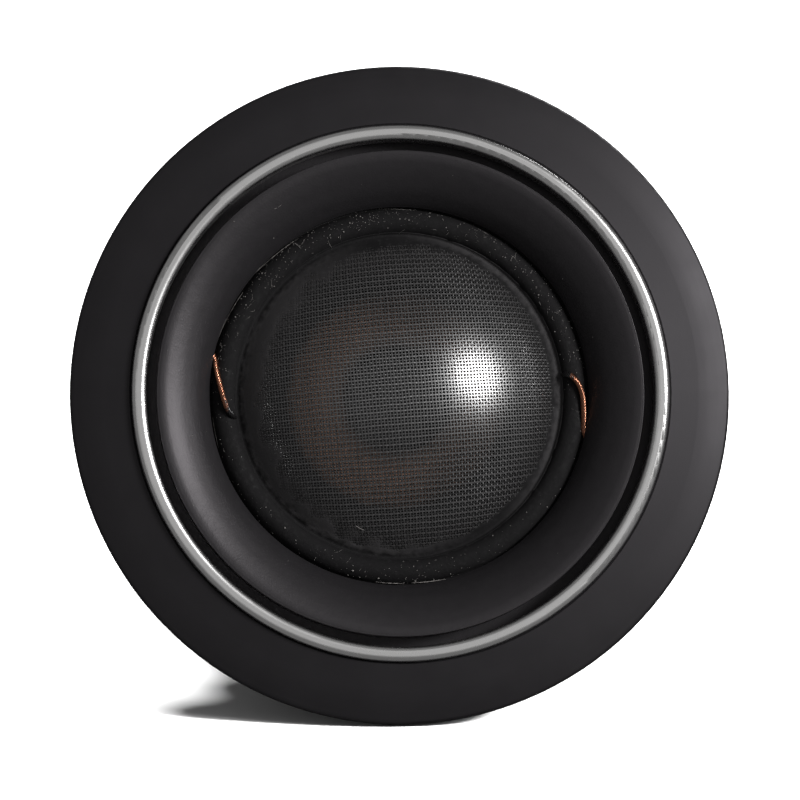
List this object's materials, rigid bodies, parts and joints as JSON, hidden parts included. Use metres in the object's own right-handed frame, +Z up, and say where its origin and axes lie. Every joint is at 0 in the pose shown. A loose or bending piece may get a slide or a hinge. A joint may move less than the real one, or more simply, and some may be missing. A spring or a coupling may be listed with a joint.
{
  "type": "car tweeter",
  "caption": "Soft-dome car tweeter with a round flange, bright trim ring, flared waveguide, woven dome and sealed rear can with blade terminals.",
  "frame": {"origin": "on the tweeter's axis, at the back face of the flange, where the panel's surface lies", "axes": "the tweeter faces -Y and its rear can runs towards +Y; +X is to the right of someone who looks at the dome, and +Z is up"},
  "size_m": [0.052, 0.0354, 0.052],
  "materials": {
    "flange_black": "satin black anodised aluminium",
    "trim_bright": "polished with brushed edges",
    "waveguide_black": "fine sandy texture",
    "surround_cloth": "coated with a tacky damping compound",
    "dome_cloth": "open plain weave",
    "dome_glue": "glossy bead",
    "former_foil": "satin",
    "winding_copper": "enamelled wire",
    "lead_copper": "fine braid",
    "lug_tin": "tinned",
    "carrier_plastic": "moulded",
    "steel_plated": "zinc plated",
    "cap_copper": "bare",
    "magnet_nickel": "nickel plated",
    "felt_grey": "felt",
    "gasket_rubber": "soft",
    "can_black": "satin black anodised aluminium",
    "wire_red": "insulation",
    "wire_black": "insulation",
    "board_fibre": "fibre board",
    "terminal_tin": "tinned",
    "screw_zinc": "zinc plated",
    "insert_brass": "turned"
  },
  "bodies": {
    "housing": {"faceplate": "flange_black", "trim_ring": "trim_bright", "waveguide": "waveguide_black", "surround": "surround_cloth", "lead_wire_left": "lead_copper", "lead_wire_right": "lead_copper", "solder_lug_left": "lug_tin", "solder_lug_right": "lug_tin", "carrier_ring": "carrier_plastic", "pole_plate": "steel_plated", "copper_cap": "cap_copper", "magnet": "magnet_nickel", "yoke_cup": "steel_plated", "vent_plug": "felt_grey", "chamber_gasket": "gasket_rubber", "rear_can": "can_black", "chamber_wadding": "felt_grey", "hookup_wire_positive": "wire_red", "hookup_wire_negative": "wire_black", "terminal_board": "board_fibre", "terminal_positive": "terminal_tin", "terminal_negative": "terminal_tin", "board_screws": "screw_zinc", "mounting_insert": "insert_brass"},
    "diaphragm": {"dome": "dome_cloth", "dome_glue_ring": "dome_glue", "coil_former": "former_foil", "voice_coil": "winding_copper"}
  },
  "joints": [
    {"name": "diaphragm_stroke", "type": "slide", "parent": "housing", "child": "diaphragm", "axis": [0, -1, 0], "range_m": [-0.0005, 0.0005], "stiffness_N_per_m": 10000, "deforming": ["surround", "lead_wire_left", "lead_wire_right"]}
  ]
}
